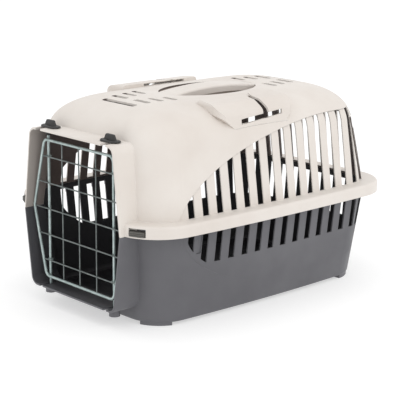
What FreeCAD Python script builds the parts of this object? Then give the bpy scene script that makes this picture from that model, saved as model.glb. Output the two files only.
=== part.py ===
import FreeCAD, Part
import math
import os
from FreeCAD import Vector

# Pet carrier: lift-off top cover over a bottom tub, wire door in a front hood.
# Millimetres, +Z up, door facing -Y, origin on the ground under the middle.

# ---- overall size ----
FRONT_Y = -239.0
REAR_Y = 239.0
PARTING_Z = 131.0
BODY_GAP = 0.3
WALL = 2.8
SIDE_BULGE = 7.0
END_BULGE = 2.0

# ---- sizes of cutting tools that reach past what they cut ----
FAR = 300.0
OVERCUT = 5.0
SIDE_X0 = 80.0
SIDE_X1 = 200.0

# ---- rim where the two shells meet ----
RIM_HALF_W = 164.0
RIM_FRONT_Y = -233.0
RIM_CORNER_R = 66.0
LEDGE_Z = 147.5
RIM_EDGE_R = 4.0

# ---- top cover dome ----
DOME_HALF_W = 144.0
DOME_FRONT_Y = -213.5
DOME_REAR_Y = 220.0
DOME_CORNER_R = 54.0
DOME_LEAN_SIDE = 0.149
DOME_LEAN_FRONT = 0.052
DOME_LEAN_REAR = 0.13
SHOULDER_Z = 233.5
ROOF_Z = 285.8
SHOULDER_POWER = 2.46
SHOULDER_SIDE = 75.4
SHOULDER_FRONT = 92.6
SHOULDER_REAR = 63.3
ROOF_CORNER_R = 30.0
SHOULDER_STEPS = 8

# ---- bottom tub ----
TUB_TOP_HALF_W = 144.5
TUB_TOP_FRONT_Y = -213.5
TUB_TOP_REAR_Y = 221.0
TUB_CORNER_R = 52.0
TUB_LEAN = 0.13
TUB_LEAN_REAR = 0.08
FLANGE_Z = LEDGE_Z - WALL - BODY_GAP
FLANGE_T = 2.6
FOOT_H = 4.0
BASE_Z = FOOT_H + 6.0
BASE_ROUND = [(3.0, 0.0), (0.8, 1.2), (0.0, 4.0)]
INSIDE_ROUND = [(5.0, 0.0), (1.0, 2.0), (0.0, 6.0)]
FOOT_INSET = 0.6
FOOT_NEAR_X = 88.0
FOOT_NEAR_Y = 163.0
RIM_PLAY = 0.5
FLOOR_T = 2.8

# ---- hood and sill round the door ----
HOOD_TOP_Z = 247.5
HOOD_TOP_HALF_W = 90.6
HOOD_MID_HALF_W = 105.5
SILL_Z = 24.0
SILL_HALF_W = 91.0
HOOD_CORNER_R = 13.0
HOOD_LIP_R = 1.2
TUNNEL_BACK_Y = -150.0

# ---- wire door ----
DOOR_Y = -226.0
DOOR_MID_Z = 134.0
MESH_PITCH = 36.6
CROSS_WIRE_D = 2.0
FRAME_WIRE_D = 4.0
ROD_D = 4.0
ROD_X = 70.4
ROD_CLEARANCE = 0.4
ROD_Y = DOOR_Y + (FRAME_WIRE_D + ROD_D) / 2 + ROD_CLEARANCE
DOOR_TOP_Z = 230.6
DOOR_BOTTOM_Z = 37.4
DOOR_TOP_HALF_W = 73.8
DOOR_MID_HALF_W = 99.4
DOOR_BOTTOM_HALF_W = 73.8
DOOR_CORNER_R = 9.0
DOOR_BEND_R = 14.0
EYE_WIRE_D = 2.0
EYE_CLEARANCE = 0.35
WELD_DEPTH = 0.3

# ---- latch rods and their pull knobs ----
ROD_BOTTOM_Z = 24.5
ROD_TOP_Z = 252.0
KNOB_STEM_D = 7.0
KNOB_STEM_BOTTOM_Z = 236.0
KNOB_LENGTH = 34.0
KNOB_WIDTH = 16.0
KNOB_INSET_X = 6.0
KNOB_BASE_T = 3.0
KNOB_LIFT_GAP = 0.5
FIN_LENGTH = 24.0
FIN_T = 5.0
FIN_H = 7.0
FIN_SINK = 0.5
FIN_SLOPE = 4.0
FIN_CORNER_R = 2.0
NOTCH_W = 10.5
SOCKET_D = 7.0
SOCKET_BOSS_D = 15.0
SOCKET_BOSS_BOTTOM_Z = 14.0
SOCKET_PLAY = 0.8
NOTCH_DEPTH = 12.0
KNOB_RIM_R = 1.2
ROD_CHAMFER = 0.6

# ---- side vents ----
SLOT_COUNT = 14
SLOT_PITCH = 24.6
SLOT_FIRST_Y = -147.0
SLOT_W = 11.0
PANEL_RECESS = 1.0
PANEL_FADE = 0.25
UPPER_ARC_Y = 132.0
UPPER_ARC_A = 305.0
UPPER_ARC_TOP_Z = 255.0
UPPER_ARC_POWER = 1.8
UPPER_SLOT_MARGIN = 0.6
LOWER_ARC_A = 297.0
LOWER_ARC_BOTTOM_Z = 19.0
LOWER_ARC_POWER = 1.9
LOWER_SLOT_BOTTOM_Z = 80.5
LOWER_SLOT_TOP_Z = 138.0
LOWER_SLOT_MARGIN = 8.0
ARC_STEPS = 10
FIELD_PAST_CORNER = 30.0
POCKET_Y = -132.6
POCKET_W = 7.6
POCKET_DEPTH = 2.0
POCKET_BOTTOM_Z = 97.0

# ---- rear vents: slots across the rear wall, then round each rear corner ----
REAR_SLOTS = (-73.8, -49.2, -24.6, 0.0, 24.6, 49.2, 73.8)
REAR_SLOT_TOP_Z = 240.0
CORNER_SLOT_ANGLES = (120.0, 150.0)

# ---- roof vents: distance from the middle, inner and outer end of each pair ----
ROOF_MID_Y = 2.8
ROOF_VENT_W = 8.5
ROOF_CUT_DEPTH = 20.0
ROOF_VENTS = [
    (157.0, 0.0, 34.8),
    (137.0, 6.8, 39.0),
    (116.5, 13.4, 41.7),
    (96.0, 19.0, 46.5),
]

# ---- carrying handle ----
GRIP_Y = 7.0
GRIP_HALF_L = 82.0
GRIP_RECESS_HALF_W = 50.0
GRIP_HALF_W = 19.0
GRIP_TOP_Z = 291.8
GRIP_DEPTH = 10.0
GRIP_WALL = 3.0
GRIP_EDGE_R = 3.0
GRIP_END_Z = ROOF_Z - 1.0
RECESS_DEPTH = 42.0
RECESS_LIP = 3.0
RECESS_TAPER_X = 12.0
RECESS_TAPER_Y = 12.0

# ---- seat belt guides on the shoulders ----
GUIDE_Y0 = -84.0
GUIDE_Y1 = 56.0
GUIDE_INNER_X = 78.0
GUIDE_BEND_X = 108.0
GUIDE_OUTER_X = 124.5
GUIDE_TOP_Z = 289.0
GUIDE_BEND_Z = 286.0
GUIDE_OUTER_Z = 273.0
GUIDE_FRONT_Z = 272.0
GUIDE_TOE_Z = 252.0
GUIDE_REAR_Z = 268.0
GUIDE_HEEL_Z = 258.0
GUIDE_LOW_Z = 226.0
GUIDE_TOE = 26.0
GUIDE_HEEL = 14.0
GUIDE_BEND_R = 16.0
GUIDE_OUTER_R = 10.0
GUIDE_END_R = 6.0
GUIDE_PLAN_R = 18.0
GUIDE_TOE_R = 8.0
GUIDE_SHARP_R = 1.0
GUIDE_DRAFT = 2.0
GUIDE_T = 3.0
WINDOW_Y0 = -46.0
WINDOW_Y1 = 31.0
WINDOW_Z = 257.0
WINDOW_H = 7.5
WINDOW_TAPER = 1.0
WINDOW_RISE = 7.0
INNER_WINDOW_Z0 = 283.9
INNER_WINDOW_Z1 = 287.4
SLIT_FRONT = [(60.0, 14.0), (78.0, 5.0), (90.0, -3.0), (103.0, -8.0), (114.0, -6.0), (125.0, -5.0),
              (140.0, -5.0)]
SLIT_WIDTHS = (5.0, 5.5, 7.0, 9.5, 10.0, 10.3, 10.3)

# ---- shell latches in the rim corners ----
LATCH_ANGLE = 25.0
LATCH_ANGLES = (LATCH_ANGLE, 180.0 - LATCH_ANGLE, 180.0 + LATCH_ANGLE, 360.0 - LATCH_ANGLE)
LATCH_NAMES = ("front_right", "rear_right", "rear_left", "front_left")
LATCH_WINDOW_W = 24.0
LATCH_WINDOW_Z0 = 133.0
LATCH_WINDOW_Z1 = 144.0
LATCH_TAB_W = 21.0
LATCH_TAB_H = 6.4
LATCH_TAB_PLAY = 0.7
LATCH_TAB_DEPTH = 5.5
LATCH_TAB_PROUD = 1.0
LATCH_RIB_PROUD = 2.0
LATCH_RIBS = 3
LATCH_PLATE_W = 28.0
LATCH_PLATE_NEAR = 5.2
LATCH_PLATE_FAR = 8.0
LATCH_CUT_DEPTH = 9.0
FLANGE_NOTCH_W = 38.0
FLANGE_NOTCH_DEPTH = 12.0


def box(x0, x1, y0, y1, z0, z1):
    """Box between opposite corners."""
    return Part.makeBox(x1 - x0, y1 - y0, z1 - z0, Vector(x0, y0, z0))


def cylinder(radius, start, end):
    """Round bar from one point to another."""
    axis = end - start
    return Part.makeCylinder(radius, axis.Length, start, axis)


def mirrored_x(shape):
    """Copy of a shape on the other side of the middle plane."""
    return shape.mirror(Vector(0, 0, 0), Vector(1, 0, 0))


def arc_centres(half_w, half_l, corner_r):
    """Centres of the side, end and corner arcs of a bulged outline about the origin."""
    side_r = half_l ** 2 / (2 * SIDE_BULGE)
    end_r = half_w ** 2 / (2 * END_BULGE)
    side_c = Vector(half_w - side_r, 0, 0)
    end_c = Vector(0, half_l - end_r, 0)
    span = end_c - side_c
    reach_side = side_r - corner_r
    reach_end = end_r - corner_r
    along = (reach_side ** 2 - reach_end ** 2 + span.Length ** 2) / (2 * span.Length)
    across = math.sqrt(reach_side ** 2 - along ** 2)
    unit = Vector(span)
    unit.normalize()
    corner_c = side_c + unit * along + Vector(-unit.y, unit.x, 0) * across
    return side_c, end_c, corner_c


def bulged_outline(half_w, y_front, y_rear, corner_r, z):
    """Closed wire of four slightly bulged sides joined by tangent corner arcs."""
    mid_y = (y_front + y_rear) / 2
    half_l = (y_rear - y_front) / 2
    side_c, end_c, corner_c = arc_centres(half_w, half_l, corner_r)
    to_side = corner_c - side_c
    to_side.normalize()
    to_end = corner_c - end_c
    to_end.normalize()
    middle = to_side + to_end
    middle.normalize()
    on_side = corner_c + to_side * corner_r
    on_corner = corner_c + middle * corner_r
    on_end = corner_c + to_end * corner_r

    def at(point, sx, sy):
        return Vector(point.x * sx, mid_y + point.y * sy, z)

    side_mid = Vector(half_w, 0, 0)
    end_mid = Vector(0, half_l, 0)
    arcs = [
        (at(on_side, 1, -1), at(side_mid, 1, 1), at(on_side, 1, 1)),
        (at(on_side, 1, 1), at(on_corner, 1, 1), at(on_end, 1, 1)),
        (at(on_end, 1, 1), at(end_mid, 1, 1), at(on_end, -1, 1)),
        (at(on_end, -1, 1), at(on_corner, -1, 1), at(on_side, -1, 1)),
        (at(on_side, -1, 1), at(side_mid, -1, 1), at(on_side, -1, -1)),
        (at(on_side, -1, -1), at(on_corner, -1, -1), at(on_end, -1, -1)),
        (at(on_end, -1, -1), at(end_mid, 1, -1), at(on_end, 1, -1)),
        (at(on_end, 1, -1), at(on_corner, 1, -1), at(on_side, 1, -1)),
    ]
    return Part.Wire([Part.Arc(*arc).toShape() for arc in arcs])


def rounded_loop(points, radii):
    """Closed wire through points, with an arc of its own radius at each."""
    count = len(points)
    starts, middles, stops = [], [], []
    for index, point in enumerate(points):
        before = points[index - 1] - point
        after = points[(index + 1) % count] - point
        before.normalize()
        after.normalize()
        half = before.getAngle(after) / 2
        reach = radii[index] / math.tan(half)
        towards = before + after
        towards.normalize()
        centre = point + towards * (radii[index] / math.sin(half))
        starts.append(point + before * reach)
        middles.append(centre - towards * radii[index])
        stops.append(point + after * reach)
    edges = []
    for index in range(count):
        edges.append(Part.Arc(starts[index], middles[index], stops[index]).toShape())
        edges.append(Part.makeLine(stops[index], starts[(index + 1) % count]))
    return Part.Wire(edges)


def runs_along(edge, axis):
    """Whether an edge is straight and parallel to an axis."""
    if len(edge.Vertexes) < 2:
        return False
    span = edge.Vertexes[1].Point - edge.Vertexes[0].Point
    return span.Length > WALL and abs(abs(span.dot(axis)) - span.Length) < 0.001


def prism(wire, height):
    """Solid that stands on a flat wire."""
    return Part.Face(wire).extrude(Vector(0, 0, height))


def dome(inset, base_z):
    """Solid of the cover's dome, its walls and roof moved inwards by inset."""
    walls = Part.makeLoft([dome_outline(inset, base_z, 0.0), dome_outline(inset, SHOULDER_Z, 0.0)],
                          True, True)
    wires = []
    top_z = ROOF_Z - inset
    for step in range(SHOULDER_STEPS + 1):
        turn = math.radians(90.0 * step / SHOULDER_STEPS)
        rise = math.sin(turn) ** (2 / SHOULDER_POWER)
        shrink = 1 - max(math.cos(turn), 0.0) ** (2 / SHOULDER_POWER)
        wires.append(dome_outline(inset, SHOULDER_Z + (top_z - SHOULDER_Z) * rise, shrink))
    return walls.fuse(Part.makeLoft(wires, True, False))


def dome_outline(inset, z, shrink):
    """Outline of the dome at one height; shrink runs from 0 to 1 over the shoulder."""
    up = z - LEDGE_Z
    half_w = DOME_HALF_W - DOME_LEAN_SIDE * up - SHOULDER_SIDE * shrink - inset
    front = DOME_FRONT_Y + DOME_LEAN_FRONT * up + SHOULDER_FRONT * shrink + inset
    rear = DOME_REAR_Y - DOME_LEAN_REAR * up - SHOULDER_REAR * shrink - inset
    corner = DOME_CORNER_R - inset + (ROOF_CORNER_R - DOME_CORNER_R) * shrink
    return bulged_outline(half_w, front, rear, corner, z)


def tub_outline(inset, z):
    """Outline of the tub wall at one height."""
    drop = (PARTING_Z - z) * TUB_LEAN + inset
    rear_drop = (PARTING_Z - z) * TUB_LEAN_REAR + inset
    return bulged_outline(TUB_TOP_HALF_W - drop, TUB_TOP_FRONT_Y + drop,
                          TUB_TOP_REAR_Y - rear_drop, TUB_CORNER_R - inset, z)


def barrel(inset, y0, y1):
    """Solid with the door opening's outline, running along Y."""
    corners = [
        (HOOD_TOP_HALF_W, HOOD_TOP_Z), (HOOD_MID_HALF_W, PARTING_Z), (SILL_HALF_W, SILL_Z),
        (-SILL_HALF_W, SILL_Z), (-HOOD_MID_HALF_W, PARTING_Z), (-HOOD_TOP_HALF_W, HOOD_TOP_Z),
    ]
    points = [Vector(x, y0, z) for x, z in corners]
    wire = Part.makePolygon(points + points[:1])
    if inset:
        wire = wire.makeOffset2D(-inset, 2, False, False, False)
    solid = Part.Face(wire).extrude(Vector(0, y1 - y0, 0))
    long_edges = [edge for edge in solid.Edges if runs_along(edge, Vector(0, 1, 0))]
    corners = [edge for edge in long_edges if abs(edge.CenterOfMass.z - PARTING_Z) > WALL]
    return solid.makeFillet(HOOD_CORNER_R - inset, corners)


def vent_field(half_l, reach_z, power, margin):
    """Solid under the arc of a vent field on the +X side, grown down by a margin."""
    sign = 1 if reach_z > PARTING_Z else -1
    depth = abs(reach_z - PARTING_Z)
    start_y = UPPER_ARC_Y - half_l + margin
    end_y = DOME_REAR_Y - DOME_CORNER_R + FIELD_PAST_CORNER
    points = []
    for step in range(ARC_STEPS + 1):
        turn = math.radians(90.0 * step / ARC_STEPS)
        y = UPPER_ARC_Y - (UPPER_ARC_Y - start_y) * math.cos(turn) ** (2 / power)
        lift = (depth - margin) * math.sin(turn) ** (2 / power)
        points.append(Vector(SIDE_X0, y, PARTING_Z + sign * lift))
    curve = Part.BSplineCurve()
    curve.interpolate(points)
    last = points[-1]
    corner = Vector(SIDE_X0, end_y, last.z)
    low = Vector(SIDE_X0, end_y, PARTING_Z)
    edges = [curve.toShape(), Part.makeLine(last, corner), Part.makeLine(corner, low),
             Part.makeLine(low, points[0])]
    return Part.Face(Part.Wire(edges)).extrude(Vector(SIDE_X1 - SIDE_X0, 0, 0))


def vent_slots(first_z, last_z):
    """Row of upright slot cutters on the +X side."""
    slots = []
    for number in range(SLOT_COUNT):
        y = SLOT_FIRST_Y + number * SLOT_PITCH
        slots.append(box(SIDE_X0, SIDE_X1, y - SLOT_W / 2, y + SLOT_W / 2, first_z, last_z))
    return Part.makeCompound(slots)


def rear_slots(first_z, last_z):
    """Upright slot cutters across the rear wall and round its two corners."""
    slots = [box(x - SLOT_W / 2, x + SLOT_W / 2, DOME_REAR_Y - DOME_CORNER_R, REAR_Y,
                 first_z, last_z) for x in REAR_SLOTS]
    mid_y = (DOME_FRONT_Y + DOME_REAR_Y) / 2
    corner = arc_centres(DOME_HALF_W, DOME_REAR_Y - mid_y, DOME_CORNER_R)[2]
    for angle in CORNER_SLOT_ANGLES:
        for side in (-1, 1):
            slot = box(-SLOT_W / 2, SLOT_W / 2, -DOME_CORNER_R - FAR / 10, -DOME_CORNER_R / 2,
                       first_z, last_z)
            slot.rotate(Vector(0, 0, 0), Vector(0, 0, 1), side * angle)
            slot.translate(Vector(side * corner.x, mid_y + corner.y, 0))
            slots.append(slot)
    return slots


def rim_prism(inset, z0, z1):
    """Solid inside the rim's outline, moved inwards by inset."""
    wire = bulged_outline(RIM_HALF_W - inset, RIM_FRONT_Y + inset, REAR_Y - inset,
                          RIM_CORNER_R - inset, z0)
    return prism(wire, z1 - z0)


def rim_crown():
    """Top of the rim, its outer edge rolled over to the ledge."""
    wires = []
    for step in range(5):
        turn = math.radians(22.5 * step)
        inset = RIM_EDGE_R * (1 - math.cos(turn))
        wires.append(bulged_outline(RIM_HALF_W - inset, RIM_FRONT_Y + inset, REAR_Y - inset,
                                    RIM_CORNER_R - inset,
                                    LEDGE_Z - RIM_EDGE_R * (1 - math.sin(turn))))
    return Part.makeLoft(wires, True, False)


def latch_place(angle):
    """Point on the rim's outer face at one latch."""
    turn = math.radians(angle)
    out = Vector(math.sin(turn), -math.cos(turn), 0)
    mid_y = (RIM_FRONT_Y + REAR_Y) / 2
    corner = arc_centres(RIM_HALF_W, REAR_Y - mid_y, RIM_CORNER_R)[2]
    centre = Vector(math.copysign(corner.x, out.x), mid_y + math.copysign(corner.y, out.y), 0)
    return centre + out * RIM_CORNER_R


def latch_box(angle, width, depth_in, depth_out, z0, z1):
    """Box across the rim at one latch, from depth_in inside to depth_out outside."""
    point = latch_place(angle)
    block = box(-width / 2, width / 2, -depth_out, depth_in, z0, z1)
    block.rotate(Vector(0, 0, 0), Vector(0, 0, 1), angle)
    block.translate(point)
    return block


def roof_slot(y, x0, x1):
    """Cutter for one round-ended vent across the roof."""
    half = ROOF_VENT_W / 2
    low = ROOF_Z - ROOF_CUT_DEPTH
    body = box(x0 + half, x1 - half, y - half, y + half, low, ROOF_Z + OVERCUT)
    for x in (x0 + half, x1 - half):
        body = body.fuse(Part.makeCylinder(half, ROOF_CUT_DEPTH + OVERCUT, Vector(x, y, low)))
    return body


def roof_vents():
    """Cutters for the fan of vents in front of and behind the handle."""
    cutters = []
    for distance, inner, outer in ROOF_VENTS:
        for side in (-1, 1):
            y = ROOF_MID_Y + side * distance
            if inner == 0:
                cutters.append(roof_slot(y, -outer, outer))
                continue
            cutters.append(roof_slot(y, inner, outer))
            cutters.append(roof_slot(y, -outer, -inner))
    return Part.makeCompound(cutters)


def ellipse_wire(half_x, half_y, z):
    """Ellipse round the handle's centre, long axis along Y."""
    centre = Vector(0, GRIP_Y, z)
    wire = Part.Wire(Part.Ellipse(centre, half_y, half_x).toShape())
    wire.rotate(centre, Vector(0, 0, 1), 90)
    return wire


def grip_dish(outset):
    """Funnel-shaped solid of the finger recess, grown outwards by outset."""
    half_x = GRIP_RECESS_HALF_W + outset
    half_y = GRIP_HALF_L + outset
    floor_z = ROOF_Z - RECESS_DEPTH - outset
    top = ellipse_wire(half_x, half_y, ROOF_Z + RECESS_LIP)
    lip = ellipse_wire(half_x, half_y, ROOF_Z - RECESS_LIP)
    floor = ellipse_wire(half_x - RECESS_TAPER_X, half_y - RECESS_TAPER_Y, floor_z)
    return Part.makeLoft([top, lip, floor], True, True)


def make_recess():
    """Finger recess: the bowl under the roof, round the handle."""
    return grip_dish(WALL).common(dome(WALL, LEDGE_Z)).cut(grip_dish(0))


def make_grip():
    """Arched carrying bar, a channel open below, as far as the recess's wall."""
    y0 = GRIP_Y - GRIP_HALF_L - GRIP_WALL
    y1 = GRIP_Y + GRIP_HALF_L + GRIP_WALL

    def arched(drop, half_w, shorten):
        start = Vector(-half_w, y0 + shorten, GRIP_END_Z - drop)
        middle = Vector(-half_w, GRIP_Y, GRIP_TOP_Z - drop)
        stop = Vector(-half_w, y1 - shorten, GRIP_END_Z - drop)
        low = Vector(0, 0, -GRIP_DEPTH)
        edges = [Part.Arc(start, middle, stop).toShape(), Part.makeLine(stop, stop + low),
                 Part.Arc(stop + low, middle + low, start + low).toShape(),
                 Part.makeLine(start + low, start)]
        return Part.Face(Part.Wire(edges)).extrude(Vector(2 * half_w, 0, 0))

    bar = arched(0, GRIP_HALF_W, 0)
    upper = [edge for edge in bar.Edges
             if abs(edge.BoundBox.XLength) < 0.1 and edge.BoundBox.YLength > GRIP_HALF_L
             and edge.BoundBox.ZMax > ROOF_Z]
    bar = bar.makeFillet(GRIP_EDGE_R, upper)
    bar = bar.cut(arched(GRIP_WALL, GRIP_HALF_W - GRIP_WALL, 3 * GRIP_WALL))
    lip = ellipse_wire(GRIP_RECESS_HALF_W, GRIP_HALF_L, ROOF_Z - RECESS_LIP)
    above = prism(lip, RECESS_DEPTH)
    return bar.common(above.fuse(grip_dish(0)))


def rounded_prism(points, radii, along):
    """Solid with a rounded outline, extruded by one vector."""
    return Part.Face(rounded_loop(points, radii)).extrude(along)


def guide_solid(inset):
    """Raised belt guide on the +X shoulder, its outside moved inwards by inset."""
    low = GUIDE_LOW_Z
    top = GUIDE_TOP_Z - inset
    inner = GUIDE_INNER_X + inset
    outer = GUIDE_OUTER_X - inset
    y0 = GUIDE_Y0 + inset
    y1 = GUIDE_Y1 - inset
    plan_r = GUIDE_PLAN_R - inset
    across = [Vector(inner, y0, low), Vector(inner, y0, top),
              Vector(GUIDE_BEND_X - inset / 3, y0, GUIDE_BEND_Z - inset),
              Vector(outer, y0, GUIDE_OUTER_Z - inset / 2), Vector(outer + GUIDE_DRAFT, y0, low)]
    section = rounded_prism(across, [GUIDE_SHARP_R, GUIDE_SHARP_R, GUIDE_BEND_R - inset,
                                     GUIDE_OUTER_R - inset, GUIDE_SHARP_R],
                            Vector(0, y1 - y0, 0))
    beside = [Vector(0, y0, top), Vector(0, y0, GUIDE_FRONT_Z),
              Vector(0, y0 + GUIDE_TOE, GUIDE_TOE_Z), Vector(0, y0 + GUIDE_TOE, low),
              Vector(0, y1 - GUIDE_HEEL, low), Vector(0, y1 - GUIDE_HEEL, GUIDE_HEEL_Z),
              Vector(0, y1, GUIDE_REAR_Z), Vector(0, y1, top)]
    radii = [GUIDE_END_R - inset, GUIDE_TOE_R / 2, GUIDE_TOE_R / 2, GUIDE_SHARP_R]
    side = rounded_prism(beside, radii + radii[::-1], Vector(2 * GUIDE_OUTER_X, 0, 0))
    above = [Vector(inner, y0, low), Vector(outer + GUIDE_DRAFT, y0, low),
             Vector(outer + GUIDE_DRAFT, y1, low), Vector(inner, y1, low)]
    plan = rounded_prism(above, [GUIDE_SHARP_R, plan_r, plan_r, GUIDE_SHARP_R],
                         Vector(0, 0, top - low))
    return section.common(side).common(plan)


def belt_window():
    """Cutter for the slanted window in the belt guide's outer wall."""
    low, high = WINDOW_Z, WINDOW_Z + WINDOW_RISE
    corners = [(WINDOW_Y0, low), (WINDOW_Y1, high), (WINDOW_Y1, high + WINDOW_H - WINDOW_TAPER),
               (WINDOW_Y0, low + WINDOW_H)]
    points = [Vector(GUIDE_BEND_X, y, z) for y, z in corners]
    face = Part.Face(Part.makePolygon(points + points[:1]))
    return face.extrude(Vector(GUIDE_OUTER_X + 2 * GUIDE_DRAFT - GUIDE_BEND_X, 0, 0))


def belt_slit():
    """Cutter for the curved slit that leads the belt into the windows."""
    z = WINDOW_Z + WINDOW_H / 2
    front = [Vector(x, y, z) for x, y in SLIT_FRONT]
    rear = [point + Vector(0, width, 0) for point, width in zip(front, SLIT_WIDTHS)]
    edges = []
    for points in (front, rear):
        curve = Part.BSplineCurve()
        curve.interpolate(points)
        edges.append(curve.toShape())
    edges.append(Part.makeLine(front[0], rear[0]))
    edges.append(Part.makeLine(front[-1], rear[-1]))
    outline = Part.Wire(Part.__sortEdges__(edges))
    return Part.Face(outline).extrude(Vector(0, 0, GUIDE_TOP_Z - z + OVERCUT))


def make_guide():
    """Belt guide on the +X shoulder: the part of the moulding outside the dome."""
    shell = guide_solid(0).cut([dome(0, LEDGE_Z), guide_solid(GUIDE_T)])
    inner_window = box(GUIDE_INNER_X - OVERCUT, GUIDE_INNER_X + OVERCUT, WINDOW_Y0, WINDOW_Y1,
                       INNER_WINDOW_Z0, INNER_WINDOW_Z1)
    return shell.cut([belt_window(), belt_slit(), inner_window])


def knob_notches():
    """Cutters that open the hood's top to the front for the two latch rods."""
    cutters = []
    for side in (-1, 1):
        x = side * ROD_X
        low = HOOD_TOP_Z - NOTCH_DEPTH
        high = HOOD_TOP_Z + WALL
        slot = box(x - NOTCH_W / 2, x + NOTCH_W / 2, FRONT_Y - OVERCUT, ROD_Y, low, high)
        end = Part.makeCylinder(NOTCH_W / 2, high - low, Vector(x, ROD_Y, low))
        cutters.append(slot.fuse(end))
    return Part.makeCompound(cutters)


def make_cover():
    """Top cover: dome, rim band, hood and vents."""
    low_z = PARTING_Z + BODY_GAP / 2
    above = box(-FAR, FAR, -FAR, FAR, low_z, FAR)
    hollow = dome(WALL, PARTING_Z - OVERCUT)
    rim = rim_prism(0, low_z, LEDGE_Z - RIM_EDGE_R).fuse(rim_crown())
    rim = rim.cut(rim_prism(WALL, low_z - 1, LEDGE_Z - WALL))
    shell = dome(0, LEDGE_Z - 1).fuse(rim).cut(hollow)
    hood = barrel(0, FRONT_Y, TUNNEL_BACK_Y)
    lip = [edge for edge in hood.Edges if edge.BoundBox.YMax < FRONT_Y + 0.1]
    hood = hood.makeFillet(HOOD_LIP_R, lip).cut(hollow).common(above)
    shell = shell.fuse(hood).cut(barrel(WALL, FRONT_Y - OVERCUT, TUNNEL_BACK_Y))
    field = vent_field(UPPER_ARC_A, UPPER_ARC_TOP_Z, UPPER_ARC_POWER, 0)
    skin = dome(PANEL_RECESS, PARTING_Z - OVERCUT)
    recess = field.common(box(0, FAR, -FAR, FAR, LEDGE_Z, FAR)).cut(skin)
    slots = vent_slots(LEDGE_Z, FAR).common(
        vent_field(UPPER_ARC_A, UPPER_ARC_TOP_Z, UPPER_ARC_POWER, UPPER_SLOT_MARGIN))
    for cutter in (recess, slots, guide_solid(GUIDE_T)):
        shell = shell.cut(cutter).cut(mirrored_x(cutter))
    windows = [latch_box(angle, LATCH_WINDOW_W, LATCH_CUT_DEPTH, LATCH_CUT_DEPTH,
                         LATCH_WINDOW_Z0, LATCH_WINDOW_Z1) for angle in LATCH_ANGLES]
    vents = rear_slots(LEDGE_Z, REAR_SLOT_TOP_Z) + [roof_vents()]
    return shell.cut([grip_dish(0), knob_notches()] + vents + windows)


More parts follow.
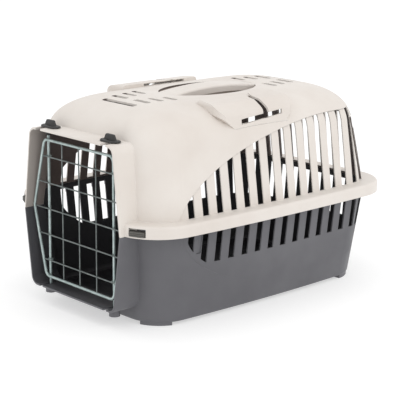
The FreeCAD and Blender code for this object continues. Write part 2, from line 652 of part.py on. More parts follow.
def make_tub():
    """Bottom tub: floor, walls, vents, rim flange, sill round the door and feet."""
    top_z = FLANGE_Z
    outer = [tub_outline(extra, FOOT_H + up) for extra, up in BASE_ROUND]
    base = Part.makeLoft(outer + [tub_outline(0, BASE_Z)], True, True)
    walls = Part.makeLoft([tub_outline(0, BASE_Z), tub_outline(0, top_z)], True, True)
    floor_z = FOOT_H + FLOOR_T
    inner = [tub_outline(WALL + extra, floor_z + up) for extra, up in INSIDE_ROUND]
    inner.append(tub_outline(WALL, top_z + OVERCUT))
    hollow = Part.makeLoft(inner, True, True)
    flange = rim_prism(WALL + RIM_PLAY, FLANGE_Z - FLANGE_T, FLANGE_Z)
    shell = base.fuse([walls, flange]).cut(hollow)
    feet = prism(tub_outline(FOOT_INSET, 0), BASE_Z)
    pads = [box(min(x, x + side_x * FAR), max(x, x + side_x * FAR),
                min(y, y + side_y * FAR), max(y, y + side_y * FAR), 0, FOOT_H + FLOOR_T)
            for side_x, x in ((-1, -FOOT_NEAR_X), (1, FOOT_NEAR_X))
            for side_y, y in ((-1, -FOOT_NEAR_Y), (1, FOOT_NEAR_Y))]
    feet = feet.common(Part.makeCompound(pads))
    sill = barrel(0, FRONT_Y, TUNNEL_BACK_Y)
    lip = [edge for edge in sill.Edges if edge.BoundBox.YMax < FRONT_Y + 0.1]
    below = box(-FAR, FAR, -FAR, FAR, -OVERCUT, PARTING_Z - BODY_GAP / 2)
    sill = sill.makeFillet(HOOD_LIP_R, lip).common(below)
    solid_tub = Part.makeLoft([tub_outline(1, BASE_Z), tub_outline(1, top_z)], True, True)
    bosses, sockets = [], []
    for side in (-1, 1):
        x = side * ROD_X
        bosses.append(Part.makeCylinder(SOCKET_BOSS_D / 2, SILL_Z + 1 - SOCKET_BOSS_BOTTOM_Z,
                                        Vector(x, ROD_Y, SOCKET_BOSS_BOTTOM_Z)))
        floor = ROD_BOTTOM_Z - SOCKET_PLAY
        top = SILL_Z + WALL + OVERCUT
        slot = box(x - SOCKET_D / 2, x + SOCKET_D / 2, FRONT_Y - OVERCUT, ROD_Y, floor, top)
        end = Part.makeCylinder(SOCKET_D / 2, top - floor, Vector(x, ROD_Y, floor))
        sockets.append(slot.fuse(end))
    sill = sill.fuse(bosses).cut(hollow)
    shell = shell.fuse([sill.cut(solid_tub), feet])
    shell = shell.cut(barrel(WALL, FRONT_Y - OVERCUT, TUNNEL_BACK_Y))
    above = box(-FAR, FAR, -FAR, TUNNEL_BACK_Y, PARTING_Z - BODY_GAP / 2, FAR)
    shell = shell.cut(barrel(-2 * BODY_GAP, FRONT_Y - OVERCUT, TUNNEL_BACK_Y).common(above))
    field = vent_field(LOWER_ARC_A, LOWER_ARC_BOTTOM_Z, LOWER_ARC_POWER, 0)
    skin = Part.makeLoft([tub_outline(-PANEL_FADE, SILL_Z), tub_outline(PANEL_RECESS, PARTING_Z)],
                         True, True)
    recess = field.common(box(0, FAR, -FAR, FAR, SILL_Z, PARTING_Z)).cut(skin)
    slots = vent_slots(LOWER_SLOT_BOTTOM_Z, PARTING_Z).common(
        vent_field(LOWER_ARC_A, LOWER_ARC_BOTTOM_Z, LOWER_ARC_POWER, LOWER_SLOT_MARGIN))
    tops = vent_slots(PARTING_Z - BODY_GAP, LOWER_SLOT_TOP_Z)
    pocket_floor = Part.makeLoft([tub_outline(POCKET_DEPTH, SILL_Z),
                                  tub_outline(POCKET_DEPTH, PARTING_Z)], True, True)
    pocket = box(0, FAR, POCKET_Y - POCKET_W / 2, POCKET_Y + POCKET_W / 2, POCKET_BOTTOM_Z,
                 PARTING_Z).cut(pocket_floor)
    for cutter in (recess, slots, tops, pocket):
        shell = shell.cut(cutter).cut(mirrored_x(cutter))
    shell = shell.cut(rear_slots(LOWER_SLOT_BOTTOM_Z, LOWER_SLOT_TOP_Z))
    notches = [latch_box(angle, FLANGE_NOTCH_W, FLANGE_NOTCH_DEPTH, LATCH_CUT_DEPTH,
                         FLANGE_Z - 2 * FLANGE_T, FLANGE_Z + FLANGE_T) for angle in LATCH_ANGLES]
    return shell.cut(sockets + notches).removeSplitter()


def door_half_width(z):
    """Half width of the door frame's centre line at one height."""
    if z > DOOR_MID_Z:
        part = (z - DOOR_MID_Z) / (DOOR_TOP_Z - DOOR_MID_Z)
        return DOOR_MID_HALF_W + (DOOR_TOP_HALF_W - DOOR_MID_HALF_W) * part
    part = (DOOR_MID_Z - z) / (DOOR_MID_Z - DOOR_BOTTOM_Z)
    return DOOR_MID_HALF_W + (DOOR_BOTTOM_HALF_W - DOOR_MID_HALF_W) * part


def make_door():
    """Frame wire, cross wires, upright wires and rod eyes of the door."""
    corners = [(DOOR_TOP_HALF_W, DOOR_TOP_Z), (DOOR_MID_HALF_W, DOOR_MID_Z),
               (DOOR_BOTTOM_HALF_W, DOOR_BOTTOM_Z), (-DOOR_BOTTOM_HALF_W, DOOR_BOTTOM_Z),
               (-DOOR_MID_HALF_W, DOOR_MID_Z), (-DOOR_TOP_HALF_W, DOOR_TOP_Z)]
    radii = [DOOR_CORNER_R, DOOR_BEND_R, DOOR_CORNER_R, DOOR_CORNER_R, DOOR_BEND_R, DOOR_CORNER_R]
    path = rounded_loop([Vector(x, DOOR_Y, z) for x, z in corners], radii)
    start = path.Edges[1].Vertexes[0].Point
    along = path.Edges[1].Vertexes[1].Point - start
    profile = Part.Wire(Part.makeCircle(FRAME_WIRE_D / 2, start + along * 0.5, along))
    path = Part.Wire(Part.__sortEdges__(path.Edges))
    frame = path.makePipeShell([profile], True, False)
    wires = {"door_frame": frame}
    crosses = []
    for number in range(5):
        z = DOOR_MID_Z + (2 - number) * MESH_PITCH
        half = door_half_width(z)
        bar = cylinder(CROSS_WIRE_D / 2, Vector(-half, DOOR_Y, z), Vector(half, DOOR_Y, z))
        crosses.append(bar.cut(frame))
        wires["door_cross_wire_%d" % (number + 1)] = crosses[-1]
    for name, x in (("left", -MESH_PITCH), ("middle", 0.0), ("right", MESH_PITCH)):
        y = DOOR_Y + CROSS_WIRE_D - WELD_DEPTH
        bar = cylinder(CROSS_WIRE_D / 2, Vector(x, y, DOOR_BOTTOM_Z), Vector(x, y, DOOR_TOP_Z))
        wires["door_upright_" + name] = bar.cut([frame] + crosses)
    ring_r = ROD_D / 2 + EYE_CLEARANCE + EYE_WIRE_D / 2
    for name, x in (("left", -ROD_X), ("right", ROD_X)):
        rings = []
        for bar in (crosses[0], crosses[-1]):
            z = bar.BoundBox.Center.z
            ring = Part.makeTorus(ring_r, EYE_WIRE_D / 2, Vector(x, ROD_Y, z), Vector(0, 0, 1))
            rings.append(ring.cut(bar))
        wires["door_eyes_" + name] = Part.makeCompound(rings)
    return wires


def make_rod(side):
    """Latch rod on one side of the door."""
    x = side * ROD_X
    rod = cylinder(ROD_D / 2, Vector(x, ROD_Y, ROD_BOTTOM_Z), Vector(x, ROD_Y, ROD_TOP_Z))
    return rod.makeChamfer(ROD_CHAMFER, [rod.Edges[0], rod.Edges[2]])


def make_knob(side, rod):
    """Pull knob on top of a rod: stem, long base plate and upright fin."""
    mid_x = side * (ROD_X - KNOB_INSET_X)
    base_z = HOOD_TOP_Z + KNOB_LIFT_GAP
    reach = (KNOB_LENGTH - KNOB_WIDTH) / 2
    base = box(mid_x - reach, mid_x + reach, ROD_Y - KNOB_WIDTH / 2, ROD_Y + KNOB_WIDTH / 2,
               base_z, base_z + KNOB_BASE_T)
    for end in (-1, 1):
        base = base.fuse(Part.makeCylinder(KNOB_WIDTH / 2, KNOB_BASE_T,
                                           Vector(mid_x + end * reach, ROD_Y, base_z)))
    base = base.removeSplitter()
    rims = [edge for edge in base.Edges if edge.BoundBox.ZMin > base_z + KNOB_BASE_T - 0.1]
    base = base.makeFillet(KNOB_RIM_R, rims)
    fin_z = base_z + KNOB_BASE_T - FIN_SINK
    half = FIN_LENGTH / 2
    top = FIN_H + FIN_SINK
    outline = [(-half, 0), (FIN_SLOPE - half, top), (half - FIN_SLOPE, top), (half, 0)]
    points = [Vector(mid_x + x, ROD_Y - FIN_T / 2, fin_z + z) for x, z in outline]
    fin = rounded_prism(points, [FIN_SINK / 2, FIN_CORNER_R, FIN_CORNER_R, FIN_SINK / 2],
                        Vector(0, FIN_T, 0))
    stem = cylinder(KNOB_STEM_D / 2, Vector(side * ROD_X, ROD_Y, KNOB_STEM_BOTTOM_Z),
                    Vector(side * ROD_X, ROD_Y, base_z + KNOB_RIM_R))
    return base.fuse([fin, stem]).cut(rod).removeSplitter()


def make_latch(angle):
    """Ribbed latch tab that shows through a window in the rim."""
    z0 = LATCH_WINDOW_Z0 + LATCH_TAB_PLAY
    z1 = z0 + LATCH_TAB_H
    tab = latch_box(angle, LATCH_TAB_W, LATCH_TAB_DEPTH, LATCH_TAB_PROUD, z0, z1)
    tab = tab.fuse(latch_box(angle, LATCH_PLATE_W, LATCH_PLATE_FAR, -LATCH_PLATE_NEAR, z0, z1))
    pitch = LATCH_TAB_H / LATCH_RIBS
    for number in range(LATCH_RIBS):
        low = z0 + (number + 0.25) * pitch
        tab = tab.fuse(latch_box(angle, LATCH_TAB_W - 2, 0, LATCH_RIB_PROUD, low, low + pitch / 2))
    return tab.removeSplitter()


def main():
    """Write one STEP file for each piece."""
    os.makedirs("parts", exist_ok=True)
    guide = make_guide()
    parts = {"top_cover": make_cover(), "finger_recess": make_recess(), "carry_handle": make_grip(),
             "belt_guide_right": guide, "belt_guide_left": mirrored_x(guide),
             "bottom_tub": make_tub()}
    parts.update(make_door())
    for name, side in (("left", -1), ("right", 1)):
        rod = make_rod(side)
        parts["latch_rod_" + name] = rod
        parts["pull_knob_" + name] = make_knob(side, rod)
    for name, angle in zip(LATCH_NAMES, LATCH_ANGLES):
        parts["shell_latch_" + name] = make_latch(angle)
    for name, shape in parts.items():
        shape.exportStep("parts/%s.step" % name)
        print(name, len(shape.Solids), "solids", round(shape.Volume), "mm3", shape.isValid())


main()
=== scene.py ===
import math

import bmesh
import bpy
from mathutils import Matrix, Vector


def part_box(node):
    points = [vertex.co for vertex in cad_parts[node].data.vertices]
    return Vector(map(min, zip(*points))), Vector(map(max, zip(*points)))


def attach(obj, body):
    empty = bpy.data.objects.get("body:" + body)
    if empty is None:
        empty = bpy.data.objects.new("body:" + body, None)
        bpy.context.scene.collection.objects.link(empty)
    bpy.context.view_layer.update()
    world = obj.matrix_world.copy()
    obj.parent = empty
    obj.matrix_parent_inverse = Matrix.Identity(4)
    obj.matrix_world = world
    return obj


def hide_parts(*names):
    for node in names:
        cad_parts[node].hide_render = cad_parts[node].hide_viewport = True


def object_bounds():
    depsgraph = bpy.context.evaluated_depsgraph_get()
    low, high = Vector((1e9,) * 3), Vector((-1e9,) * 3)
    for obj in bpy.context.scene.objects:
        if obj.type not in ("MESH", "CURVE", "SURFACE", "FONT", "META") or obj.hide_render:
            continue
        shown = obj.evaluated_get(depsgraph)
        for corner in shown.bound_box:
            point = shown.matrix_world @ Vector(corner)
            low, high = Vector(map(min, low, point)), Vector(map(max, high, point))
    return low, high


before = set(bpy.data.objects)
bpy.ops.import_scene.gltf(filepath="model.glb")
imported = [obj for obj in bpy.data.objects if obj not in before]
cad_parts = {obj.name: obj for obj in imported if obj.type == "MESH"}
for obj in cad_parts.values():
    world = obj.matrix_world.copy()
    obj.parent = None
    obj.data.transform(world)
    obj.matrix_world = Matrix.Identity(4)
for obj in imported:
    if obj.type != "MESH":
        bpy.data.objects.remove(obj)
cad_low, cad_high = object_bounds()

MM = 0.001
FULL_TURN = 2 * math.pi
RING_STEPS = 16

# pull knobs, in millimetres: inset and height of each ring of the base, then half
# length, half thickness and height of each ring of the fin
KNOB_HEIGHT = 10.0 * MM
KNOB_BASE = [(2.2, 0.0), (0.5, 0.0), (0.0, 0.5), (0.0, 1.4), (0.5, 2.1), (2.0, 2.7), (5.0, 3.0)]
KNOB_FIN = [(12.0, 2.5, 2.4), (11.7, 2.5, 3.1), (10.4, 2.4, 5.6), (9.4, 2.3, 7.6),
            (8.6, 2.1, 9.0), (7.6, 1.7, 9.7), (6.4, 1.0, 10.0)]
STEM_RADIUS = 3.5 * MM
STEM_REACH = 0.6 * MM
STEM_CHAMFER = 0.5 * MM

# door: half widths and bends of the frame wire's centre line, ends and welds of the wires
DOOR_NARROW = 73.8 * MM
DOOR_WIDE = 99.4 * MM
DOOR_MID_Z = 134.0 * MM
DOOR_CORNER_R = 9.0 * MM
DOOR_BEND_R = 14.0 * MM
BEND_STEPS = 8
ROD_CHAMFER = 0.6 * MM
WIRE_CHAMFER = 0.2 * MM
CROSS_WIRE_REACH = 0.6 * MM
UPRIGHT_REACH = 0.4 * MM
BEAD_SIZE = 1.25
BEAD_FLATNESS = 0.62
EYE_RING_R = 3.35 * MM
EYE_WIRE_R = 1.0 * MM
EYE_STEPS = 32

# where the end walls begin, and where daylight in the hood ends, along the carrier; over that
# span the painted shade on the hood's inside walls grows to full strength
END_WALL_Y = (0.184, 0.190)
HOOD_PAINTED_SHADE_Y = (-0.238, -0.200)
# share of the painted shade left on the hood's inside walls at its open front
HOOD_FRONT_PAINTED_SHADE = 0.45

# camera: where it stands, how it is turned, and its lens
CAMERA_AT = Vector((1.4015, -1.2870, 0.5946))
CAMERA_AZIMUTH = 47.57
CAMERA_ELEVATION = 13.93
CAMERA_ROLL = 0.49
CAMERA_LENS = 121.84
SENSOR = 36.0

# colours, linear
COVER_LIGHT = (0.715, 0.670, 0.625)
COVER_DARK = (0.660, 0.605, 0.557)
# painted shade: the cover's walls that face the cabin are darkened to stand in for the shade
# inside
COVER_PAINTED_SHADE = (0.135, 0.104, 0.094)
# painted shade: the finger recess under the handle is painted darker than the cover's own
# beige, to stand in for the shade in it
RECESS_PAINTED_SHADE_PALE = (0.420, 0.360, 0.315)
RECESS_PAINTED_SHADE_DEEP = (0.330, 0.275, 0.240)
TUB_LIGHT = (0.128, 0.127, 0.138)
TUB_DARK = (0.104, 0.103, 0.113)
# painted shade: the tub's walls that face the cabin are darkened to stand in for the shade
# inside
TUB_PAINTED_SHADE = (0.018, 0.018, 0.021)
KNOB_LIGHT = (0.034, 0.033, 0.032)
KNOB_DARK = (0.020, 0.020, 0.019)
LATCH_LIGHT = (0.125, 0.120, 0.108)
LATCH_DARK = (0.070, 0.067, 0.060)
ZINC_LIGHT = (0.50, 0.58, 0.57)
ZINC_DARK = (0.33, 0.41, 0.40)
MESH_LIGHT = (0.22, 0.245, 0.24)
MESH_DARK = (0.13, 0.150, 0.147)
FLOOR_COLOUR = (0.56, 0.56, 0.56)
FLOOR_CLOUD = (0.54, 0.54, 0.543)
KEY_COLOUR = (1.0, 0.985, 0.965)


# ---- materials ----

class Nodes:
    """A new material's node tree, with short ways to add and join nodes."""

    def __init__(self, name):
        self.material = bpy.data.materials.new(name)
        self.material.use_nodes = True
        self.tree = self.material.node_tree
        self.shader = self.tree.nodes["Principled BSDF"]
        self.place = self.add("ShaderNodeTexCoord").outputs["Object"]

    def add(self, kind, **values):
        node = self.tree.nodes.new(kind)
        for key, value in values.items():
            setattr(node, key, value)
        return node

    def join(self, source, target):
        self.tree.links.new(source, target)

    def noise(self, scale, detail=3.0, roughness=0.55, stretch=None):
        """A noise's value, in the object's own metres."""
        node = self.add("ShaderNodeTexNoise")
        node.inputs["Scale"].default_value = scale
        node.inputs["Detail"].default_value = detail
        node.inputs["Roughness"].default_value = roughness
        place = self.place
        if stretch:
            mapping = self.add("ShaderNodeMapping")
            mapping.inputs["Scale"].default_value = stretch
            self.join(place, mapping.inputs["Vector"])
            place = mapping.outputs["Vector"]
        self.join(place, node.inputs["Vector"])
        return node.outputs["Fac"]

    def span(self, value, low, high, to_low=0.0, to_high=1.0):
        """A value carried from one range to another, and held inside it."""
        node = self.add("ShaderNodeMapRange", clamp=True)
        for socket, number in zip(node.inputs[1:5], (low, high, to_low, to_high)):
            socket.default_value = number
        self.join(value, node.inputs["Value"])
        return node.outputs["Result"]

    def mix(self, share, first, second, blend="MIX"):
        """Two colours mixed by a share. Each is a colour or another node's output."""
        node = self.add("ShaderNodeMix", data_type="RGBA", blend_type=blend)
        for socket, value in ((node.inputs[0], share), (node.inputs[6], first),
                              (node.inputs[7], second)):
            if isinstance(value, bpy.types.NodeSocket):
                self.join(value, socket)
            elif isinstance(value, tuple):
                socket.default_value = (*value, 1.0)
            else:
                socket.default_value = value
        return node.outputs[2]

    def maths(self, operation, first, second):
        node = self.add("ShaderNodeMath", operation=operation)
        for socket, value in zip(node.inputs, (first, second)):
            if isinstance(value, bpy.types.NodeSocket):
                self.join(value, socket)
            else:
                socket.default_value = value
        return node.outputs[0]

    def bump(self, height, strength, distance, under=None):
        node = self.add("ShaderNodeBump")
        node.inputs["Strength"].default_value = strength
        node.inputs["Distance"].default_value = distance
        self.join(height, node.inputs["Height"])
        if under:
            self.join(under, node.inputs["Normal"])
        return node.outputs["Normal"]

    def soft_edge(self, radius):
        """The surface's normal with its sharp edges rounded by a small radius."""
        node = self.add("ShaderNodeBevel", samples=6)
        node.inputs["Radius"].default_value = radius
        return node.outputs["Normal"]

    def painted_shade_inside(self, centre):
        """Mask of painted shade: 1 on walls that face the cabin, where shade falls, 0 on walls
        that face out.
        """
        geometry = self.add("ShaderNodeNewGeometry")
        offset = self.add("ShaderNodeVectorMath", operation="SUBTRACT")
        self.join(self.place, offset.inputs[0])
        offset.inputs[1].default_value = centre
        # the cut sides of the vents face along Y, so Y counts only at the end walls
        parts = self.add("ShaderNodeSeparateXYZ")
        self.join(offset.outputs[0], parts.inputs[0])
        at_end = self.span(self.maths("ABSOLUTE", parts.outputs["Y"], 0.0), *END_WALL_Y)
        joined = self.add("ShaderNodeCombineXYZ")
        self.join(parts.outputs["X"], joined.inputs["X"])
        self.join(self.maths("MULTIPLY", parts.outputs["Y"], at_end), joined.inputs["Y"])
        self.join(parts.outputs["Z"], joined.inputs["Z"])
        # the normal is carried into the object's own frame, so that a pose changes nothing
        turned = self.add("ShaderNodeVectorTransform", vector_type="NORMAL",
                          convert_from="WORLD", convert_to="OBJECT")
        self.join(geometry.outputs["True Normal"], turned.inputs[0])
        dot = self.add("ShaderNodeVectorMath", operation="DOT_PRODUCT")
        self.join(joined.outputs[0], dot.inputs[0])
        self.join(turned.outputs[0], dot.inputs[1])
        painted_inward = self.span(dot.outputs["Value"], 0.0, -0.02)
        # daylight reaches the inside of the hood's front edge, so the painted shade is lighter
        # there
        painted_depth = self.span(parts.outputs["Y"], *HOOD_PAINTED_SHADE_Y, HOOD_FRONT_PAINTED_SHADE, 1.0)
        return self.maths("MULTIPLY", painted_inward, painted_depth)

    def edge_wear(self, radius):
        """1 in worn patches along sharp edges, 0 elsewhere."""
        geometry = self.add("ShaderNodeNewGeometry")
        dot = self.add("ShaderNodeVectorMath", operation="DOT_PRODUCT")
        self.join(geometry.outputs["Normal"], dot.inputs[0])
        self.join(self.soft_edge(radius), dot.inputs[1])
        along = self.span(dot.outputs["Value"], 0.995, 0.93)
        patches = self.span(self.noise(75.0, 3.0), 0.42, 0.62, 0.15, 0.75)
        return self.maths("MULTIPLY", along, patches)


def moulded_plastic(name, light, dark, inside=None, edge=0.7 * MM, centre=(0.0, 0.0, 0.13)):
    """Injection-moulded plastic: clouded colour, fine grain, scuffs, worn and soft edges, and
    painted shade on the walls that face the cabin when a shade colour is given.
    """
    n = Nodes(name)
    cloud = n.span(n.noise(9.0, 4.0), 0.35, 0.65)
    colour = n.mix(cloud, light, dark)
    speck = n.span(n.noise(700.0, 2.0), 0.45, 0.75, 0.0, 0.10)
    colour = n.mix(speck, colour, dark)
    scuff = n.span(n.noise(60.0, 6.0, 0.7, stretch=(0.35, 1.0, 3.2)), 0.63, 0.74, 0.0, 0.22)
    colour = n.mix(scuff, colour, tuple(min(1.0, c * 1.18) for c in light))
    # painted shade: walls that face the cabin are darkened towards the shade colour
    if inside:
        colour = n.mix(n.painted_shade_inside(centre), colour, inside)
    worn = n.edge_wear(1.1 * edge)
    colour = n.mix(worn, colour, tuple(min(0.86, 0.03 + c * 1.25) for c in light))
    n.join(colour, n.shader.inputs["Base Color"])
    dull = n.span(n.noise(38.0, 4.0), 0.3, 0.7, 0.40, 0.56)
    n.join(n.maths("ADD", dull, n.maths("MULTIPLY", scuff, 0.4)), n.shader.inputs["Roughness"])
    n.shader.inputs["IOR"].default_value = 1.49
    n.shader.inputs["Specular IOR Level"].default_value = 0.42
    normal = n.soft_edge(edge)
    normal = n.bump(n.noise(26.0, 2.0), 0.10, 0.6 * MM, normal)
    normal = n.bump(n.noise(900.0, 3.0, 0.6), 0.22, 0.08 * MM, normal)
    n.join(normal, n.shader.inputs["Normal"])
    return n.material


def zinc_wire(name, light, dark):
    """Galvanised wire: clouded zinc with spangles, rubbed patches and a fine bump."""
    n = Nodes(name)
    patch = n.span(n.noise(120.0, 4.0), 0.35, 0.68)
    colour = n.mix(patch, light, dark)
    spangle = n.span(n.noise(900.0, 2.0), 0.5, 0.7, 0.0, 0.3)
    colour = n.mix(spangle, colour, tuple(min(0.8, c * 1.3) for c in light))
    rubbed = n.span(n.noise(45.0, 5.0, 0.7), 0.58, 0.68, 0.0, 0.25)
    colour = n.mix(rubbed, colour, tuple(c * 0.6 for c in dark))
    n.join(colour, n.shader.inputs["Base Color"])
    n.shader.inputs["Metallic"].default_value = 0.7
    n.join(n.span(n.noise(260.0, 3.0), 0.3, 0.7, 0.32, 0.55), n.shader.inputs["Roughness"])
    normal = n.bump(n.noise(1500.0, 3.0), 0.25, 0.06 * MM)
    n.join(normal, n.shader.inputs["Normal"])
    return n.material


def studio_floor(name):
    """Pale matt floor, very faintly clouded."""
    n = Nodes(name)
    n.join(n.mix(n.span(n.noise(3.0), 0.3, 0.7, 0.0, 0.3), FLOOR_COLOUR, FLOOR_CLOUD),
           n.shader.inputs["Base Color"])
    n.shader.inputs["Roughness"].default_value = 0.9
    n.shader.inputs["Specular IOR Level"].default_value = 0.1
    n.shader.inputs["Emission Color"].default_value = (1.0, 1.0, 1.0, 1.0)
    n.shader.inputs["Emission Strength"].default_value = 0.5
    return n.material


def paint(piece, material):
    """Give a piece one material in every slot."""
    if not piece.data.materials:
        piece.data.materials.append(material)
    for slot in piece.material_slots:
        slot.material = material


# ---- mesh pieces ----

def finish_mesh(name, mesh_builder, material, body, slot_name, *nodes):
    """Make a piece from a filled bmesh, hang it on the body it rides on, and hide the nodes it
    stands for.
    """
    bmesh.ops.remove_doubles(mesh_builder, verts=mesh_builder.verts, dist=1e-6)
    bmesh.ops.recalc_face_normals(mesh_builder, faces=mesh_builder.faces)
    mesh = bpy.data.meshes.new(name)
    mesh_builder.to_mesh(mesh)
    mesh_builder.free()
    mesh.polygons.foreach_set("use_smooth", [True] * len(mesh.polygons))
    mesh.set_sharp_from_angle(angle=math.radians(40))
    piece = bpy.data.objects.new(name, mesh)
    bpy.context.scene.collection.objects.link(piece)
    paint(piece, material)
    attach(piece, body)
    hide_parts(*nodes)
    return piece


def loft(builder, rings, cap=True):
    """Join rings of the same number of points with quads, and cap both ends."""
    loops = [[builder.verts.new(point) for point in ring] for ring in rings]
    count = len(loops[0])
    for first, second in zip(loops, loops[1:]):
        for i in range(count):
            after = (i + 1) % count
            builder.faces.new((first[i], first[after], second[after], second[i]))
    if cap:
        builder.faces.new(reversed(loops[0]))
        builder.faces.new(loops[-1])


def stadium(centre, half_length, radius, z):
    """Points round a slot shape that is long in X."""
    points = []
    straight = half_length - radius
    for i in range(2 * RING_STEPS):
        turn = FULL_TURN * (i + 0.5) / (2 * RING_STEPS)
        end = math.copysign(straight, math.cos(turn))
        points.append(Vector((centre.x + end + radius * math.cos(turn),
                              centre.y + radius * math.sin(turn), z)))
    return points


def tube(builder, points, radius, closed=False):
    """Round wire along points, with its rings kept from twisting."""
    count = len(points)
    rings = []
    side = None
    for i, point in enumerate(points):
        if closed:
            along = points[(i + 1) % count] - points[i - 1]
        else:
            along = points[min(i + 1, count - 1)] - points[max(i - 1, 0)]
        along.normalize()
        if side is None:
            side = along.orthogonal().normalized()
        side = (side - along * side.dot(along)).normalized()
        other = along.cross(side)
        rings.append([point + (side * math.cos(FULL_TURN * k / RING_STEPS)
                               + other * math.sin(FULL_TURN * k / RING_STEPS)) * radius
                      for k in range(RING_STEPS)])
    if closed:
        rings.append(rings[0])
    loft(builder, rings, cap=not closed)


def rod(builder, start, end, radius, chamfer):
    """Straight round bar with chamfered ends."""
    axis = (end - start).normalized()
    side = axis.orthogonal().normalized()
    other = axis.cross(side)
    rings = []
    for point, r in ((start, radius - chamfer), (start + axis * chamfer, radius),
                     (end - axis * chamfer, radius), (end, radius - chamfer)):
        rings.append([point + (side * math.cos(FULL_TURN * k / RING_STEPS)
                               + other * math.sin(FULL_TURN * k / RING_STEPS)) * r
                      for k in range(RING_STEPS)])
    loft(builder, rings)


def middle(node):
    low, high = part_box(node)
    return (low + high) / 2


def build_knobs(material):
    """Pull knobs: stem, oval dished base and a rounded upright fin."""
    for side in ("left", "right"):
        node = "pull_knob_" + side
        low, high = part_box(node)
        rod_middle = middle("latch_rod_" + side)
        centre = (low + high) / 2
        half_length = (high.x - low.x) / 2
        radius = (high.y - low.y) / 2
        base_z = high.z - KNOB_HEIGHT
        builder = bmesh.new()
        loft(builder, [stadium(centre, half_length - inset * MM, radius - inset * MM,
                               base_z + up * MM) for inset, up in KNOB_BASE])
        rings = []
        for half, thick, up in KNOB_FIN:
            rings.append(stadium(centre, half * MM, thick * MM, base_z + up * MM))
        loft(builder, rings)
        rod(builder, Vector((rod_middle.x, centre.y, low.z)),
            Vector((rod_middle.x, centre.y, base_z + STEM_REACH)), STEM_RADIUS, STEM_CHAMFER)
        finish_mesh("knob_" + side, builder, material, "bolt_" + side, "knob_plastic", node)


def build_rods(material):
    """The two upright latch rods."""
    for side in ("left", "right"):
        node = "latch_rod_" + side
        low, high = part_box(node)
        centre = (low + high) / 2
        builder = bmesh.new()
        rod(builder, Vector((centre.x, centre.y, low.z)), Vector((centre.x, centre.y, high.z)),
            (high.x - low.x) / 2, ROD_CHAMFER)
        finish_mesh("rod_" + side, builder, material, "bolt_" + side, "rod_steel", node)


def frame_path():
    """Centre line of the door's bent frame wire."""
    low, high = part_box("door_frame")
    wire = (high.y - low.y) / 2
    top, bottom = high.z - wire, low.z + wire
    y = (low.y + high.y) / 2
    corners = [(DOOR_NARROW, top, DOOR_CORNER_R), (DOOR_WIDE, DOOR_MID_Z, DOOR_BEND_R),
               (DOOR_NARROW, bottom, DOOR_CORNER_R), (-DOOR_NARROW, bottom, DOOR_CORNER_R),
               (-DOOR_WIDE, DOOR_MID_Z, DOOR_BEND_R), (-DOOR_NARROW, top, DOOR_CORNER_R)]
    points = []
    for i, (x, z, r) in enumerate(corners):
        here = Vector((x, y, z))
        before = Vector((corners[i - 1][0], y, corners[i - 1][1])) - here
        following = corners[(i + 1) % len(corners)]
        after = Vector((following[0], y, following[1])) - here
        before.normalize()
        after.normalize()
        half = before.angle(after) / 2
        centre = here + (before + after).normalized() * (r / math.sin(half))
        first = here + before * (r / math.tan(half)) - centre
        last = here + after * (r / math.tan(half)) - centre
        for step in range(BEND_STEPS + 1):
            turned = first.normalized().slerp(last.normalized(), step / BEND_STEPS)
            points.append(centre + turned * r)
    return points


def build_door(frame_zinc, mesh_zinc):
    """Frame wire, mesh wires, weld beads and rod eyes."""
    low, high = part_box("door_frame")
    builder = bmesh.new()
    tube(builder, frame_path(), (high.y - low.y) / 2, closed=True)
    finish_mesh("wire_frame", builder, frame_zinc, "door", "door_wire", "door_frame")
    heights = []
    for number in range(1, 6):
        node = "door_cross_wire_%d" % number
        low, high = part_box(node)
        centre = (low + high) / 2
        heights.append(centre.z)
        builder = bmesh.new()
        rod(builder, Vector((low.x - CROSS_WIRE_REACH, centre.y, centre.z)),
            Vector((high.x + CROSS_WIRE_REACH, centre.y, centre.z)), (high.z - low.z) / 2,
            WIRE_CHAMFER)
        finish_mesh("wire_level_%d" % number, builder, mesh_zinc, "door", "door_wire", node)
    for name in ("left", "middle", "right"):
        node = "door_upright_" + name
        low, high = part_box(node)
        centre = (low + high) / 2
        radius = (high.x - low.x) / 2
        builder = bmesh.new()
        rod(builder, Vector((centre.x, high.y - radius, low.z - UPRIGHT_REACH)),
            Vector((centre.x, high.y - radius, high.z + UPRIGHT_REACH)), radius, WIRE_CHAMFER)
        for z in heights:
            # the weld squeezes a small bead out round each crossing
            bead = bmesh.ops.create_uvsphere(builder, u_segments=12, v_segments=8,
                                             radius=BEAD_SIZE * radius)
            bmesh.ops.scale(builder, vec=(1.0, BEAD_FLATNESS, 1.0), verts=bead["verts"])
            bmesh.ops.translate(builder, vec=(centre.x, high.y - 2 * radius, z),
                                verts=bead["verts"])
        finish_mesh("wire_upright_" + name, builder, mesh_zinc, "door", "door_wire", node)
    for side in ("left", "right"):
        rod_middle = middle("latch_rod_" + side)
        builder = bmesh.new()
        for z in (heights[0], heights[-1]):
            ring = [Vector((rod_middle.x + EYE_RING_R * math.cos(FULL_TURN * k / EYE_STEPS),
                            rod_middle.y + EYE_RING_R * math.sin(FULL_TURN * k / EYE_STEPS), z))
                    for k in range(EYE_STEPS)]
            tube(builder, ring, EYE_WIRE_R, closed=True)
        finish_mesh("wire_eyes_" + side, builder, frame_zinc, "door", "door_wire",
                    "door_eyes_" + side)


# ---- scene ----

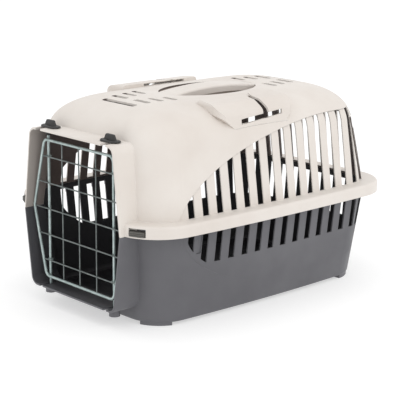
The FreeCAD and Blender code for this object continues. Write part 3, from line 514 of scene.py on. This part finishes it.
def place_camera():
    """Camera at the viewing angle of the carrier's front right."""
    a = math.radians(CAMERA_AZIMUTH)
    e = math.radians(CAMERA_ELEVATION)
    r = math.radians(CAMERA_ROLL)
    back = Vector((math.sin(a) * math.cos(e), -math.cos(a) * math.cos(e), math.sin(e)))
    right = Vector((math.cos(a), math.sin(a), 0.0))
    up = back.cross(right)
    x_axis = right * math.cos(r) + up * math.sin(r)
    y_axis = up * math.cos(r) - right * math.sin(r)
    data = bpy.data.cameras.new("camera")
    data.lens = CAMERA_LENS
    data.sensor_width = SENSOR
    data.clip_start = 0.05
    data.clip_end = 60.0
    camera = bpy.data.objects.new("camera", data)
    turn = Matrix((x_axis, y_axis, back)).transposed().to_4x4()
    camera.matrix_world = Matrix.Translation(CAMERA_AT) @ turn
    bpy.context.scene.collection.objects.link(camera)
    bpy.context.scene.camera = camera


def area_light(name, at, aim, size, power, colour=(1.0, 1.0, 1.0)):
    data = bpy.data.lights.new(name, "AREA")
    data.shape = "RECTANGLE"
    data.size, data.size_y = size
    data.energy = power
    data.color = colour
    light = bpy.data.objects.new(name, data)
    light.location = at
    light.rotation_mode = "QUATERNION"
    light.rotation_quaternion = (Vector(aim) - Vector(at)).to_track_quat("-Z", "Y")
    bpy.context.scene.collection.objects.link(light)


def build_studio():
    """Pale floor, white surroundings and soft lights."""
    builder = bmesh.new()
    bmesh.ops.create_grid(builder, x_segments=4, y_segments=4, size=12.0)
    mesh = bpy.data.meshes.new("floor")
    builder.to_mesh(mesh)
    builder.free()
    floor = bpy.data.objects.new("floor", mesh)
    floor.location.z = cad_low.z - 0.2 * MM
    bpy.context.scene.collection.objects.link(floor)
    paint(floor, studio_floor("floor_pale"))
    world = bpy.data.worlds.new("studio")
    world.use_nodes = True
    world.node_tree.nodes["Background"].inputs["Color"].default_value = (1.0, 1.0, 1.0, 1.0)
    world.node_tree.nodes["Background"].inputs["Strength"].default_value = 1.0
    bpy.context.scene.world = world
    area_light("overhead", (0.3, -0.3, 2.2), (0, 0, 0.1), (2.4, 2.4), 7.0)
    area_light("key", (2.3, 0.2, 1.5), (0, 0, 0.15), (1.4, 1.4), 7.0, KEY_COLOUR)
    bpy.context.scene.view_settings.view_transform = "Standard"


def dress_shells():
    """Materials of the CAD nodes that stay."""
    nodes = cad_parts
    # the cover's inside walls get painted shade
    paint(nodes["top_cover"],
          moulded_plastic("plastic_beige", COVER_LIGHT, COVER_DARK, COVER_PAINTED_SHADE,
                          centre=(0.0, 0.0, 0.14)))
    outside = moulded_plastic("plastic_handle", COVER_LIGHT, COVER_DARK)
    for name in ("carry_handle", "belt_guide_left", "belt_guide_right"):
        paint(nodes[name], outside)
    # the finger recess is painted darker, as painted shade
    paint(nodes["finger_recess"], moulded_plastic("plastic_recess_painted_shade", RECESS_PAINTED_SHADE_PALE, RECESS_PAINTED_SHADE_DEEP))
    # the tub's inside walls get painted shade
    paint(nodes["bottom_tub"],
          moulded_plastic("plastic_grey", TUB_LIGHT, TUB_DARK, TUB_PAINTED_SHADE))
    latch = moulded_plastic("plastic_latch", LATCH_LIGHT, LATCH_DARK, edge=0.4 * MM)
    for name, node in nodes.items():
        if name.startswith("shell_latch"):
            paint(node, latch)


place_camera()
build_studio()
dress_shells()
build_knobs(moulded_plastic("plastic_knob", KNOB_LIGHT, KNOB_DARK, edge=0.3 * MM))
zinc = zinc_wire("zinc_thick", ZINC_LIGHT, ZINC_DARK)
build_rods(zinc)
build_door(zinc, zinc_wire("zinc_thin", MESH_LIGHT, MESH_DARK))
